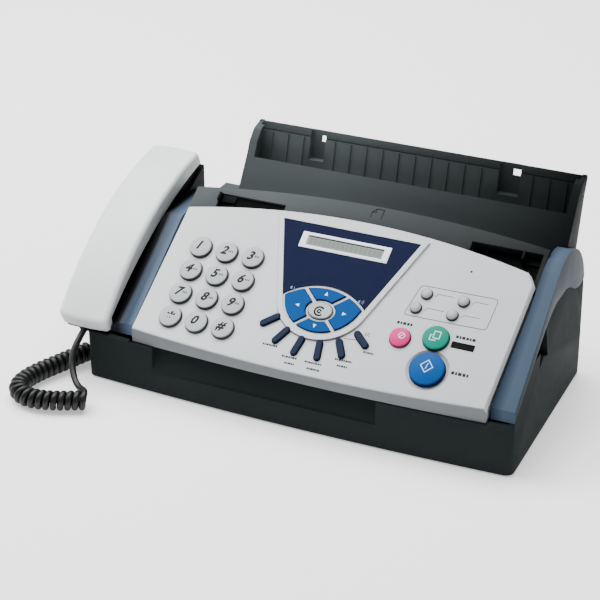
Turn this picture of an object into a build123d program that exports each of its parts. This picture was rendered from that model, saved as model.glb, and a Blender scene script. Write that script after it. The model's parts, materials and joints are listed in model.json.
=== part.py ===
"""Desktop fax machine with a side handset: every piece as its own solid, in millimetres.

The origin is on the desk, under the middle of the machine's overall box. +Z is up,
+X is the user's right and the control panel faces -Y.
"""
import os
from math import atan2, cos, degrees, radians, sin

from build123d import *

# ---------------------------------------------------------------- driving dimensions
base_x = 11.0             # middle of the base across, from the origin
front_y = -84.0           # front edge of the base at its corners
base_width = 345.0
base_depth = 166.0
front_bow = 5.0           # how far the front bulges at its middle
wall = 2.5
side_draft = 1.6          # degrees, so that the side walls lean inwards
desk_gap = 1.2            # height of the housing's rim above the desk

panel_slope = 33.7        # degrees
lip_y = 1.0               # front edge of the panel, behind the base's front corners
lip_z = 50.7
lip_height = 11.0
panel_skin = 2.5
panel_left, panel_right = -131.7, 151.0
panel_length = 112.0      # front to rear corner, along the slope
panel_crown = 16.0        # bulge of the panel's rear edge

arm_left_outer, arm_left_inner = -151.3, -132.2
arm_right_inner = 156.8
cover_hinge = (162.0, 84.0)       # depth and height of the top cover's hinge line
hinge_pin_radius = 2.5
running_gap = 0.06

key_gap = 0.35            # around each button in its hole
flange_top = 3.1          # depth of a button's retaining flange below the panel
flange_depth = 4.1

handset_x = -173.5
handset_width = 43.0
handset_length = 179.3
handset_tilt = 26.1       # degrees, rear end up
handset_peak = 19.5       # rise of the handset's back at its middle
shell_wall = 2.2


jack_depth = 11.0
socket_depth = 8.0
side_jack = (34.0, 12.0)          # depth and height of the handset cord's socket
rear_jacks = [(-120.0, 30.0), (-102.0, 30.0)]
inlet_place = (130.0, 30.0)

# ---------------------------------------------------------------- reference planes
foot = Plane(origin=(base_x, front_y, 0))
side = Plane(origin=(base_x, front_y, 0), x_dir=(0, 1, 0), z_dir=(1, 0, 0))
front = Plane(origin=(base_x, front_y, 0), x_dir=(1, 0, 0), z_dir=(0, -1, 0))
slope_sin = sin(radians(panel_slope))
slope_cos = cos(radians(panel_slope))
panel = Plane(
    origin=(base_x, front_y + lip_y, lip_z), x_dir=(1, 0, 0), z_dir=(0, -slope_sin, slope_cos)
)
tilt_sin = sin(radians(handset_tilt))
tilt_cos = cos(radians(handset_tilt))
# The handset's side view: x runs from its front end to its rear end, y stands on its back.
handset_side = Plane(
    origin=(base_x + handset_x, front_y - 3.0, 50.0),
    x_dir=(0, tilt_cos, tilt_sin),
    z_dir=(1, 0, 0),
)

os.makedirs("parts", exist_ok=True)


def save(piece, name):
    """Label a finished piece and write its STEP file."""
    piece.label = name
    export_step(piece, f"parts/{name}.step")


# ---------------------------------------------------------------- base housing
def base_outline(inset=0.0, side_inset=0.0):
    """Plan of the base, bowed at the front."""
    half = base_width / 2 - side_inset
    with BuildSketch() as plan:
        with BuildLine():
            bow = ThreePointArc((-half, inset), (0, inset - front_bow), (half, inset))
            Polyline(bow @ 1, (half, base_depth - inset), (-half, base_depth - inset), bow @ 0)
        make_face()
    return plan.sketch


def arm_lower_edge(gap=0.0):
    """Points of the seam between an arm and the base, front to rear."""
    edge = [(-10, 35), (0, 41), (70, 85.4), (86, 92.2), (96, 94), (118, 94), (129, 90.5)]
    edge += [(142, 83), (152, 80)]
    return [(y, z - gap) for y, z in edge]


def cradle_floor(gap=0.0):
    """Points of the handset cradle's underside, in the base's side view."""
    low = [(4, 43.5), (6.5, 37.5), (17, 30.5), (24, 32), (50, 45.5), (50, 57), (117, 89)]
    low += [(122, 83), (162, 81)]
    return [(y, z - gap) for y, z in low]


def drafted_side(hand):
    """Plane of the base's left (-1) or right (1) wall, leaning inwards."""
    return Plane(
        origin=(base_x + hand * base_width / 2, 0, 0),
        x_dir=(0, 1, 0),
        z_dir=(hand * cos(radians(side_draft)), 0, sin(radians(side_draft))),
    )


seam_gap = 0.5
scoop_left, scoop_right = -113.0, 70.0
scoop_bottom = 20.0
exit_sill = 39.0
notch_floor = 160.0       # how far across the bottom of the finger notch lies
hinge_y, hinge_z = cover_hinge

with BuildPart() as base_housing:
    with BuildSketch(foot.offset(desk_gap)) as plan:
        add(base_outline())
        fillet(plan.vertices().group_by(Axis.Y)[-1], 5)
        fillet(plan.vertices().group_by(Axis.Y)[0], 7)
    extrude(amount=100)
    for hand in (-1, 1):
        split(bisect_by=drafted_side(hand), keep=Keep.BOTTOM)
    with BuildSketch(foot):
        add(base_outline(wall, 2 * wall))
    extrude(amount=200, mode=Mode.SUBTRACT)
    # the seam under the arms, and the lower wall under the panel's lip
    with BuildSketch(side.offset(-base_width)):
        Polygon(*arm_lower_edge(seam_gap), (200, 79.5), (200, 150), (-20, 150), align=None)
    extrude(amount=2 * base_width, mode=Mode.SUBTRACT)
    with BuildSketch(front.offset(-20)):
        with Locations(((panel_left + panel_right) / 2, exit_sill)):
            Rectangle(panel_right - panel_left + 4, 60, align=(Align.CENTER, Align.MIN))
    extrude(amount=40, mode=Mode.SUBTRACT)
    # room for the handset cradle on the left
    with BuildSketch(side.offset(-base_width)):
        Polygon((-20, 40.2), (4.5, 40.2), *cradle_floor(seam_gap)[1:], (200, 81), (200, 150),
                (-20, 150), align=None)
    extrude(amount=base_width + arm_left_outer - 0.1, mode=Mode.SUBTRACT)
    # rear foot of the wall steps inwards
    with BuildSketch(foot):
        with Locations((0, base_depth)):
            Rectangle(base_width, 4)
    extrude(amount=13, mode=Mode.SUBTRACT)
    # the paper exit: the front wall leans back into a scoop below the lip
    scoop_width = scoop_right - scoop_left
    with BuildSketch(front.offset(-10)):
        with Locations(((scoop_left + scoop_right) / 2, scoop_bottom)):
            Rectangle(scoop_width, 60, align=(Align.CENTER, Align.MIN))
    extrude(amount=20, mode=Mode.SUBTRACT)
    with BuildSketch(side.offset(scoop_left - wall)):
        Polygon((-4.0, 18), (5.5, exit_sill), (8.5, exit_sill), (0.5, 17), align=None)
    extrude(amount=scoop_width + 2 * wall)
    for end in (scoop_left - wall, scoop_right):
        with BuildSketch(side.offset(end)):
            Polygon((-2.4, 19), (-2.4, exit_sill), (6, exit_sill), (0, 19), align=None)
        extrude(amount=wall)
    # finger notch under the right arm, closed behind by a block
    with BuildSketch(side.offset(notch_floor - 2.5)):
        Polygon((44, 54), (80, 54), (80, 88), (70, 84), (44, 68), align=None)
    extrude(amount=10)
    with BuildSketch(side.offset(notch_floor)):
        Polygon((70, 88), (77, 60), (66, 64), (57, 58), (59, 70), (47, 70), (62, 84), align=None)
    extrude(amount=20, mode=Mode.SUBTRACT)
    # hinge lugs and pins for the top cover
    for plate_x, reach in ((152.6, 1), (arm_left_inner + 0.6, -1)):
        with BuildSketch(side.offset(plate_x)):
            with Locations((hinge_y, hinge_z)):
                Circle(3.6)
            with Locations((hinge_y, hinge_z - 12)):
                Rectangle(7.2, 24)
        extrude(amount=3.6)
        pin_start = plate_x + 3.6 if reach > 0 else plate_x
        with BuildSketch(side.offset(pin_start)):
            with Locations((hinge_y, hinge_z)):
                Circle(hinge_pin_radius)
        extrude(amount=reach * 9)
    # windows for the sockets
    with BuildSketch(side.offset(-base_width / 2 - 1)):
        with Locations(side_jack):
            Rectangle(12.4, 12.4)
    extrude(amount=10, mode=Mode.SUBTRACT)
    with BuildSketch(front.offset(-base_depth + 6)):
        with Locations(*rear_jacks, inlet_place):
            Rectangle(12.4, 12.4)
    extrude(amount=-10, mode=Mode.SUBTRACT)
save(base_housing.part, "base_housing")

# ---------------------------------------------------------------- bottom cover and feet
foot_places = [(-150, 12), (150, 12), (-150, 152), (150, 152)]
foot_radius = 6.0
cover_top = 3.6           # upper face of the bottom cover

with BuildPart() as bottom_cover:
    with BuildSketch(foot.offset(desk_gap)):
        add(base_outline(wall + 0.4, 2 * wall + 0.4))
    extrude(amount=cover_top - desk_gap)
    with BuildSketch(foot.offset(desk_gap)):
        with Locations(*foot_places):
            Circle(foot_radius + 0.2)
    extrude(amount=1.2, mode=Mode.SUBTRACT)
    with BuildSketch(foot):
        with Locations((-60, 84), (85, 84)):
            with GridLocations(8, 36, 9, 2):
                SlotOverall(28, 3, rotation=90)
    extrude(amount=cover_top, mode=Mode.SUBTRACT)
save(bottom_cover.part, "bottom_cover")

with BuildPart() as rubber_feet:
    with BuildSketch(foot):
        with Locations(*foot_places):
            Circle(foot_radius)
    extrude(amount=desk_gap + 1.2)
save(rubber_feet.part, "rubber_feet")

# ---------------------------------------------------------------- chassis and rollers
chassis_left, chassis_right = -126.0, 146.0
sheet = 1.2
platen_axis = (68.0, 48.0)
supply_axis = (106.0, 44.0)
takeup_axis = (38.0, 42.0)
platen_shaft, spool_shaft = 4.0, 3.0
roller_left, roller_length = -98.0, 232.0


def toothed(radius, teeth):
    """Spur gear's outline, centred on the sketch's origin."""
    pitch = 2 * radius * sin(radians(180 / teeth))
    with BuildSketch() as gear:
        Circle(radius - 1)
        with PolarLocations(radius - 0.7, teeth):
            Rectangle(1.8, pitch * 0.5)
    return gear.sketch


with BuildPart() as chassis_frame:
    for plate_x in (chassis_left, chassis_right):
        with BuildSketch(side.offset(plate_x)):
            outline = [(22, cover_top), (30, cover_top), (30, 20), (132, 20)]
            outline += [(132, cover_top), (140, cover_top), (140, 62), (24, 62), (22, 58)]
            Polygon(*outline, align=None)
            with Locations(platen_axis):
                Circle(platen_shaft + running_gap, mode=Mode.SUBTRACT)
            with Locations(supply_axis, takeup_axis):
                Circle(spool_shaft + running_gap, mode=Mode.SUBTRACT)
        extrude(amount=sheet)
    with BuildSketch(side.offset(chassis_left)):
        with Locations((81, 20.6)):
            Rectangle(102, sheet)
    extrude(amount=chassis_right + sheet - chassis_left)
save(chassis_frame.part, "chassis_frame")

with BuildPart() as platen_roller:
    for radius, start, length in ((platen_shaft, -129, 281), (9, roller_left, roller_length)):
        with BuildSketch(side.offset(start)):
            with Locations(platen_axis):
                Circle(radius)
        extrude(amount=length)
    with BuildSketch(side.offset(148.4)):
        with Locations(platen_axis):
            add(toothed(12, 28))
    extrude(amount=3)
save(platen_roller.part, "platen_roller")

for spool_name, axis, film in (
    ("ribbon_supply_spool", supply_axis, 15.0), ("ribbon_takeup_spool", takeup_axis, 9.0)
):
    with BuildPart() as spool:
        steps = [(spool_shaft, chassis_left - 1, chassis_right - chassis_left + 2)]
        steps += [(7, roller_left - 8, roller_length + 16), (film, roller_left, roller_length)]
        steps += [(film + 2, roller_left - 4, 2), (film + 2, roller_left + roller_length + 2, 2)]
        for radius, start, length in steps:
            with BuildSketch(side.offset(start)):
                with Locations(axis):
                    Circle(radius)
            extrude(amount=length)
    save(spool.part, spool_name)

with BuildPart() as print_head:
    with BuildSketch(side.offset(roller_left)):
        with Locations((68, 36)):
            Rectangle(16, 4.6)
        with GridLocations(4, 1, 4, 1):
            with Locations((68, 31.4)):
                Rectangle(1.4, 5)
    extrude(amount=roller_length)
    for post in (roller_left + 6, roller_left + roller_length - 14):
        with BuildSketch(side.offset(post)):
            with Locations((68, 27.6)):
                Rectangle(16, 12.8)
        extrude(amount=8)
save(print_head.part, "print_head")

with BuildPart() as circuit_boards:
    board_z = 8.0
    for middle, size in (((-50, 81), (136, 92)), ((86, 81), (104, 92))):
        with BuildSketch(foot.offset(board_z)):
            with Locations(middle):
                Rectangle(*size)
        extrude(amount=1.6)
        with BuildSketch(foot.offset(cover_top)):
            with Locations(middle):
                with GridLocations(size[0] - 10, size[1] - 10, 2, 2):
                    Circle(2.5)
        extrude(amount=board_z - cover_top)
    chips = [(-70, 96, 24, 24, 2.5), (-30, 70, 14, 28, 2.5), (-90, 60, 18, 8, 4), (0, 100, 8, 20, 6)]
    chips += [(70, 90, 30, 26, 9.5), (110, 100, 14, 14, 9.5), (105, 62, 26, 10, 8), (60, 56, 10, 10, 9)]
    for x, y, across, deep, tall in chips:
        with BuildSketch(foot.offset(board_z + 1.6)):
            with Locations((x, y)):
                Rectangle(across, deep)
        extrude(amount=tall)
save(circuit_boards.part, "circuit_boards")

with BuildPart() as drive_motor:
    motor_axis = (108, 38)
    for start, length, radius in ((147.6, 1.2, 19), (148.8, 15, 16), (163.8, 1.6, 5)):
        with BuildSketch(side.offset(start)):
            with Locations(motor_axis):
                Circle(radius)
        extrude(amount=length)
save(drive_motor.part, "drive_motor")

# ---------------------------------------------------------------- sockets
rear_socket_plane = front.offset(-base_depth + 0.6)

with BuildPart() as modular_jacks:
    with BuildSketch(side.offset(-base_width / 2 + 0.6)):
        with Locations(side_jack):
            Rectangle(12, 12)
    extrude(amount=jack_depth)
    with BuildSketch(rear_socket_plane):
        with Locations(*rear_jacks):
            Rectangle(12, 12)
    extrude(amount=jack_depth)
    with BuildSketch(rear_socket_plane):
        with Locations(*rear_jacks):
            Rectangle(8, 7)
    extrude(amount=socket_depth, mode=Mode.SUBTRACT)
save(modular_jacks.part, "modular_jacks")

with BuildPart() as power_inlet:
    with BuildSketch(rear_socket_plane):
        with Locations(inlet_place):
            Rectangle(12, 12)
    extrude(amount=jack_depth)
    with BuildSketch(rear_socket_plane):
        with Locations(inlet_place):
            SlotOverall(8.5, 5)
    extrude(amount=socket_depth, mode=Mode.SUBTRACT)
    with BuildSketch(rear_socket_plane.offset(socket_depth)):
        with Locations(inlet_place):
            with GridLocations(4, 1, 2, 1):
                Circle(0.8)
    extrude(amount=-6)
save(power_inlet.part, "power_inlet")

# ---------------------------------------------------------------- top cover: arms
arm_front = 3.0           # front end of the arms, and its lower corner
nose_z = 42.9
crest_start, crest_radius = 95.4, 46.0
crest_centre = (120.9, 75.4)
hinge_round = 4.0


def slope_point(y, below=0.0):
    """Point in the side view on the panel's slope, or below it along its normal."""
    z = lip_z + (y - lip_y) * slope_sin / slope_cos
    return (y + below * slope_sin, z - below * slope_cos)


def arm_profile():
    """Side view of an arm: along the slope, over the crest and round the hinge."""
    seam = [point for point in arm_lower_edge() if point[0] > arm_front]
    nose = (arm_front, nose_z)
    heel = (hinge_y, hinge_z - hinge_round)
    with BuildSketch() as profile:
        with BuildLine():
            rise = Line(slope_point(arm_front), slope_point(crest_start))
            crest = TangentArc(rise @ 1, (hinge_y + hinge_round, hinge_z), tangent=rise % 1)
            turn = hinge_round * cos(radians(45))
            ThreePointArc(crest @ 1, (hinge_y + turn, hinge_z - turn), heel)
            Polyline(heel, *reversed(seam), nose, rise @ 0)
        make_face()
    return profile.sketch


with BuildPart() as right_arm:
    with BuildSketch(side.offset(152)):
        add(arm_profile())
    extrude(amount=base_width / 2 - 152)
    split(bisect_by=drafted_side(1), keep=Keep.BOTTOM)
    # the inner side follows the panel's flared edge
    with BuildSketch(foot):
        Polygon((140, -5), (153.2, -5), (arm_right_inner, 68), (arm_right_inner, 180), (140, 180),
                align=None)
    extrude(amount=150, mode=Mode.SUBTRACT)
    with BuildSketch(side.offset(arm_right_inner)):
        with Locations(cover_hinge):
            Circle(hinge_pin_radius + running_gap)
    extrude(amount=9, mode=Mode.SUBTRACT)
save(right_arm.part, "right_arm")

low_crest = 108.5         # height of the left arm's flat rear part
shoulder_reach, shoulder_drop = 14.3, 6.5


def low_arm_profile():
    """Side view of the left arm, which levels out beside the deck."""
    seam = [point for point in arm_lower_edge() if point[0] > arm_front]
    turn = hinge_round * cos(radians(45))
    with BuildSketch() as profile:
        with BuildLine():
            rise = Line(slope_point(arm_front), slope_point(84))
            bend = TangentArc(rise @ 1, (92.1, low_crest), tangent=rise % 1)
            level = Line(bend @ 1, (125, low_crest))
            fall = TangentArc(level @ 1, (hinge_y + hinge_round, hinge_z), tangent=level % 1)
            heel = (hinge_y, hinge_z - hinge_round)
            ThreePointArc(fall @ 1, (hinge_y + turn, hinge_z - turn), heel)
            Polyline(heel, *reversed(seam), (arm_front, nose_z), rise @ 0)
        make_face()
    return profile.sketch


def above_shoulder(side_sign):
    """Everything above the arm's rounded outer shoulder, y pointing up (1) or down (-1)."""
    start_x = arm_left_outer - 1 + shoulder_reach
    with BuildSketch() as region:
        with BuildLine():
            roll = TangentArc(
                (start_x, 0), (arm_left_outer - 1, -side_sign * shoulder_drop), tangent=(-1, 0)
            )
            Polyline(roll @ 1, (arm_left_outer - 1, 20 * side_sign), (start_x, 20 * side_sign),
                     roll @ 0)
        make_face()
    return region.sketch


with BuildPart() as left_arm:
    with BuildSketch(side.offset(arm_left_outer)):
        add(low_arm_profile())
    extrude(amount=arm_left_inner - arm_left_outer)
    along_slope = Plane(
        origin=panel.from_local_coords((0, -10, 0)), x_dir=(1, 0, 0),
        z_dir=(0, slope_cos, slope_sin),
    )
    with BuildSketch(along_slope):
        add(above_shoulder(-1))
    extrude(amount=125, mode=Mode.SUBTRACT)
    along_deck = Plane(
        origin=(base_x, front_y + 86, low_crest), x_dir=(1, 0, 0), z_dir=(0, -1, 0)
    )
    with BuildSketch(along_deck):
        add(above_shoulder(1))
    extrude(amount=-90, mode=Mode.SUBTRACT)
    with BuildSketch(side.offset(arm_left_inner)):
        with Locations(cover_hinge):
            Circle(hinge_pin_radius + running_gap)
    extrude(amount=-9, mode=Mode.SUBTRACT)
save(left_arm.part, "left_arm")

# ---------------------------------------------------------------- top cover: control panel
island_x = 6.7            # middle of the raised display island
island_d = 60.0           # centre of its round lower end, up the slope
island_radius = 33.0
island_top = 118.0
island_lean = 20.0        # degrees, how the island's sides spread upwards
island_height = 1.6
rim_width = 4.0
recess = 0.9              # depth of the fascia's seat inside the rim
nav_x, nav_d = 7.2, 47.0


def panel_plan(inset=0.0):
    """Plan of the control panel between its bowed lip and its crowned rear edge."""
    with BuildSketch() as plan:
        with BuildLine():
            lip = ThreePointArc(
                (panel_left + inset, lip_y + inset), (9.7, lip_y - front_bow + inset),
                (panel_right - inset, lip_y + inset),
            )
            rear_y = lip_y + panel_length * slope_cos - inset
            rear = ThreePointArc(
                (150 - inset, rear_y), (12, rear_y + panel_crown * slope_cos),
                (-130 + inset, rear_y),
            )
            Polyline(lip @ 1, (155 - inset, 87.5 - inset), rear @ 0)
            Line(rear @ 1, lip @ 0)
        make_face()
    return plan.sketch


def island(grow=0.0, top=island_top):
    """Shield shape of the island, round below and spreading upwards, in panel coordinates."""
    radius = island_radius + grow
    lean = radians(island_lean)
    touch_x = radius * cos(lean)
    touch_d = island_d - radius * sin(lean)
    half_top = touch_x + (top - touch_d) * sin(lean) / cos(lean)
    with BuildSketch() as shield:
        with BuildLine():
            bowl = ThreePointArc(
                (island_x - touch_x, touch_d), (island_x, island_d - radius),
                (island_x + touch_x, touch_d),
            )
            Polyline(bowl @ 1, (island_x + half_top, top), (island_x - half_top, top), bowl @ 0)
        make_face()
    return shield.sketch


def below_fascia(gap=0.0):
    """Everything under the arched lower edge of the fascia, in panel coordinates."""
    reach = island_radius
    with BuildSketch() as region:
        with BuildLine():
            arch = ThreePointArc(
                (island_x - reach, island_d - 6 - gap), (island_x, island_d + 7.5 - gap),
                (island_x + reach, island_d - 6 - gap),
            )
            Polyline(arch @ 1, (island_x + reach, -10), (island_x - reach, -10), arch @ 0)
        make_face()
    return region.sketch


def nav_key(number, grow=0.0):
    """One of the four keys round the middle one: 0 right, 1 up, 2 left, 3 down."""
    with BuildSketch() as ring:
        add(island(-2.0 + grow))
        add(below_fascia(1.8 - grow), mode=Mode.INTERSECT)
        with Locations((nav_x, nav_d)):
            Ellipse(11.8 - grow, 9.2 - grow, mode=Mode.SUBTRACT)
            Rectangle(120, 2 * (1.5 - grow), rotation=43, mode=Mode.SUBTRACT)
            Rectangle(120, 2 * (1.5 - grow), rotation=-43, mode=Mode.SUBTRACT)
    for face in ring.sketch.faces():
        middle = face.center()
        heading = degrees(atan2(middle.Y - nav_d, middle.X - nav_x))
        if round(heading / 90) % 4 == number:
            key = face
    with BuildSketch() as quarter:
        add(key)
    return quarter.sketch


number_radius, number_height = 8.9, 3.0
number_columns = [-105.0, -82.9, -60.8]
number_rows = [78.7, 57.8, 36.9, 16.0]
number_names = ["1", "2", "3", "4", "5", "6", "7", "8", "9", "star", "0", "hash"]
touch_places = [(80.2, 78.9), (75.9, 66.0), (108.7, 78.8), (104.0, 66.2)]
touch_radius, touch_height = 4.4, 2.4
colour_keys = {               # across, up the slope, radius, height
    "stop_button": (72.7, 39.7, 8.0, 2.4),
    "copy_button": (98.6, 45.2, 9.9, 2.8),
    "start_button": (100.4, 19.7, 13.2, 3.2),
}
function_middle = (8.9, 63.4)
function_ring = 48.6
function_angles = [-48.8, -29.3, -9.8, 9.8, 29.3, 48.8]
function_length, function_width, function_height = 16.6, 5.2, 2.2
centre_size = (9.8, 7.2)
centre_height = 2.4
nav_height = 2.2


def number_place(index):
    """Panel coordinates of one number key, counted row by row."""
    return (number_columns[index % 3], number_rows[index // 3])


def function_slot(angle, grow=0.0):
    """Rounded slot of one function key, pointing away from the island."""
    turn = radians(angle)
    middle = (
        function_middle[0] + function_ring * sin(turn), function_middle[1] - function_ring * cos(turn)
    )
    with BuildSketch() as slot:
        with Locations(middle):
            SlotOverall(function_length + 2 * grow, function_width + 2 * grow, rotation=angle - 90)
    return slot.sketch


lcd_x, lcd_d = 6.3, 103.2
lcd_frame = (72.0, 13.6)
lcd_window = (62.0, 8.6)

start_dish = 3.0          # width of the bevelled dish round the start key
lip_round = 2.5
microphone = (106.2, 104.5)

with BuildPart() as panel_sheet:
    with BuildSketch(foot):
        add(panel_plan())
    extrude(amount=160)
    split(bisect_by=panel, keep=Keep.BOTTOM)
    split(bisect_by=panel.offset(-panel_skin), keep=Keep.TOP)
    top_face = panel_sheet.faces().sort_by(Axis((0, 0, 0), tuple(panel.z_dir)))[-1]
    flared = top_face.edges().filter_by(lambda edge: edge.center().X > base_x + 149)
    chamfer(flared, 2.2)
    front_face = panel_sheet.faces().group_by(Axis.Y)[0].sort_by(Axis.Z)[-1]
    lip_edges = front_face.edges().filter_by(lambda edge: edge.length > 100)
    lip_edge = lip_edges.sort_by(Axis.Z)[-1]
    fillet(lip_edge, lip_round)

with BuildPart() as lip_wall:
    with BuildSketch(foot.offset(lip_z - lip_height)):
        add(panel_plan())
        add(panel_plan(panel_skin), mode=Mode.SUBTRACT)
    extrude(amount=120)
    split(bisect_by=panel.offset(-2.3), keep=Keep.BOTTOM)
    with BuildSketch(side.offset(-base_width)):
        Polygon((-10, 0), (200, 0), (200, 200), (83, 200), slope_point(78, 9), slope_point(8, 9),
                (4, lip_z - lip_height), (-10, lip_z - lip_height), align=None)
    extrude(amount=2 * base_width, mode=Mode.SUBTRACT)

with BuildPart() as control_panel:
    add(panel_sheet.part)
    add(lip_wall.part)
    # display island: a rimmed shield standing on the slope
    with BuildSketch(panel.offset(-1)):
        add(island(rim_width + 1.2, 121.5))
    extrude(amount=island_height + 1, taper=24)
    with BuildSketch(panel.offset(island_height)):
        add(island())
    extrude(amount=-recess, mode=Mode.SUBTRACT)
    with BuildSketch(panel):
        with Locations((lcd_x, lcd_d)):
            Rectangle(lcd_window[0] + 4, lcd_window[1] + 2)
    extrude(amount=-5, both=True, mode=Mode.SUBTRACT)
    # holes for the keys
    with BuildSketch(panel.offset(-5)):
        with Locations(*[number_place(index) for index in range(12)]):
            Circle(number_radius + key_gap)
        with Locations(*touch_places):
            Circle(touch_radius + key_gap)
        for x, d, radius, height in colour_keys.values():
            with Locations((x, d)):
                Circle(radius + key_gap)
        for angle in function_angles:
            add(function_slot(angle, key_gap))
        for number in range(4):
            add(nav_key(number, key_gap))
        with Locations((nav_x, nav_d)):
            Ellipse(centre_size[0] + key_gap, centre_size[1] + key_gap)
        with Locations(microphone):
            Circle(0.9)
    extrude(amount=10, mode=Mode.SUBTRACT)
    start_x, start_d, start_radius, _ = colour_keys["start_button"]
    with BuildSketch(panel):
        with Locations((start_x, start_d)):
            Circle(start_radius + start_dish)
    extrude(amount=-1.2, taper=60, mode=Mode.SUBTRACT)
save(control_panel.part, "control_panel")

fascia_play = 0.15
with BuildPart() as display_fascia:
    with BuildSketch(panel.offset(island_height - recess + 0.02)):
        add(island(-fascia_play, island_top - fascia_play))
        add(below_fascia(-0.6), mode=Mode.SUBTRACT)
        with Locations((lcd_x, lcd_d)):
            Rectangle(lcd_frame[0] + 0.2, lcd_frame[1] + 0.2, mode=Mode.SUBTRACT)
    extrude(amount=0.6)
save(display_fascia.part, "display_fascia")

with BuildPart() as lcd_display:
    with BuildSketch(panel.offset(island_height - recess + 0.02)):
        with Locations((lcd_x, lcd_d)):
            Rectangle(*lcd_frame)
    extrude(amount=1.1)
    with BuildSketch(panel.offset(island_height - recess + 0.02)):
        with Locations((lcd_x, lcd_d)):
            Rectangle(lcd_window[0] + 3.6, lcd_window[1] + 1.6)
    extrude(amount=-7)
    with BuildSketch(panel.offset(island_height - recess + 1.12)):
        with Locations((lcd_x, lcd_d)):
            Rectangle(*lcd_window)
    extrude(amount=-0.7, mode=Mode.SUBTRACT)
save(lcd_display.part, "lcd_display")


# ---------------------------------------------------------------- buttons
flange_reach = 1.2


def round_key(place, radius, height, rim, crown):
    """Round key with a rolled rim, a domed top and a flange that keeps it in the panel."""
    centre = panel.from_local_coords((place[0], place[1], 0))
    half_view = Plane(origin=centre, x_dir=(1, 0, 0), z_dir=(0, -slope_cos, -slope_sin))
    with BuildPart() as key:
        with BuildSketch(half_view):
            with BuildLine():
                flank = Polyline(
                    (0, -flange_depth), (radius + flange_reach, -flange_depth),
                    (radius + flange_reach, -flange_top), (radius, -flange_top),
                    (radius, height - rim),
                )
                roll = JernArc(flank @ 1, (0, 1), rim, 90 - crown)
                dome_radius = (roll @ 1).X / sin(radians(crown))
                dome = JernArc(roll @ 1, roll % 1, dome_radius, crown)
                Line(dome @ 1, (0, -flange_depth))
            make_face()
        revolve(axis=Axis(centre, panel.z_dir))
    return key.part


def flat_key(outline, flange, height, soft):
    """Flat key of any outline, with bevelled top edges and a flange below the panel."""
    with BuildPart() as key:
        with BuildSketch(panel.offset(-flange_depth)):
            add(outline)
        extrude(amount=flange_depth + height)
        top_face = key.faces().sort_by(Axis((0, 0, 0), tuple(panel.z_dir)))[-1]
        chamfer(top_face.edges(), soft)
        with BuildSketch(panel.offset(-flange_depth)):
            add(flange)
        extrude(amount=flange_depth - flange_top)
    return key.part


for index, name in enumerate(number_names):
    save(round_key(number_place(index), number_radius, number_height, 1.2, 7), f"key_{name}")
for index, place in enumerate(touch_places):
    save(round_key(place, touch_radius, touch_height, 1.2, 36), f"onetouch_{index + 1}")
for name, (x, d, radius, height) in colour_keys.items():
    save(round_key((x, d), radius, height, 1.4, 14), name)
for index, angle in enumerate(function_angles):
    slot_key = flat_key(function_slot(angle), function_slot(angle, 1.0), function_height, 0.6)
    save(slot_key, f"function_{index + 1}")
for number, name in enumerate(("right", "up", "left", "down")):
    direction_key = flat_key(nav_key(number), nav_key(number, 0.9), nav_height, 0.4)
    save(direction_key, f"nav_{name}")
with BuildSketch() as centre_oval:
    with Locations((nav_x, nav_d)):
        Ellipse(*centre_size)
with BuildSketch() as centre_flange:
    with Locations((nav_x, nav_d)):
        Ellipse(centre_size[0] + 0.8, centre_size[1] + 0.8)
save(flat_key(centre_oval.sketch, centre_flange.sketch, centre_height, 0.8), "nav_center")

# ---------------------------------------------------------------- document cover
cover_left, cover_right = -131.4, 156.3
cover_sink = 2.0          # top of the cover below the panel's plane
cover_bottom = 100.0
cover_rear = 160.5
deck_top = 107.0
guide_slot_d = 131.0      # rear wall of the two document guide recesses
left_recess = (-110.0, -54.0, 4.0)        # from, to, depth below the panel's plane
right_recess = (98.0, 153.0, 10.0)
feed_axis = (86.0, 88.0)
feed_shaft = 3.0
feed_lugs = [-75.0, 115.0]
paper_slot = (-90.0, 150.0, 138.0, 150.0)     # left, right, front, rear


def cover_plan(panel_inset):
    """Plan of the document cover behind the panel's edge, which it may reach under."""
    with BuildSketch() as plan:
        with BuildLine():
            rear = ThreePointArc((cover_left, 112.6), (30, 122.8), (cover_right, 115.3))
            Polyline(rear @ 1, (cover_right, 86), (cover_left, 86), rear @ 0)
        make_face()
        add(panel_plan(panel_inset), mode=Mode.SUBTRACT)
    return plan.sketch


def box_on(plane, low, high, depth):
    """Sketch rectangle between two corners, extruded into the plane by a depth."""
    with BuildPart() as block:
        with BuildSketch(plane):
            with Locations(((low[0] + high[0]) / 2, (low[1] + high[1]) / 2)):
                Rectangle(high[0] - low[0], high[1] - low[1])
        extrude(amount=-depth)
    return block.part


with BuildPart() as cover_ledge:
    with BuildSketch(foot.offset(cover_bottom)):
        add(cover_plan(4.0))
    extrude(amount=60)
    split(bisect_by=panel.offset(-panel_skin - 0.2), keep=Keep.BOTTOM)

with BuildPart() as cover_crown:
    with BuildSketch(foot.offset(cover_bottom)):
        add(cover_plan(-1.0))
    extrude(amount=60)
    split(bisect_by=panel.offset(-cover_sink), keep=Keep.BOTTOM)

with BuildPart() as cover_hollow:
    with BuildSketch(foot.offset(cover_bottom - 5)):
        with Locations((20, 104)):
            Rectangle(140, 26)
        add(panel_plan(1.0), mode=Mode.SUBTRACT)
    extrude(amount=60)
    split(bisect_by=panel.offset(-5.0), keep=Keep.BOTTOM)

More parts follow.
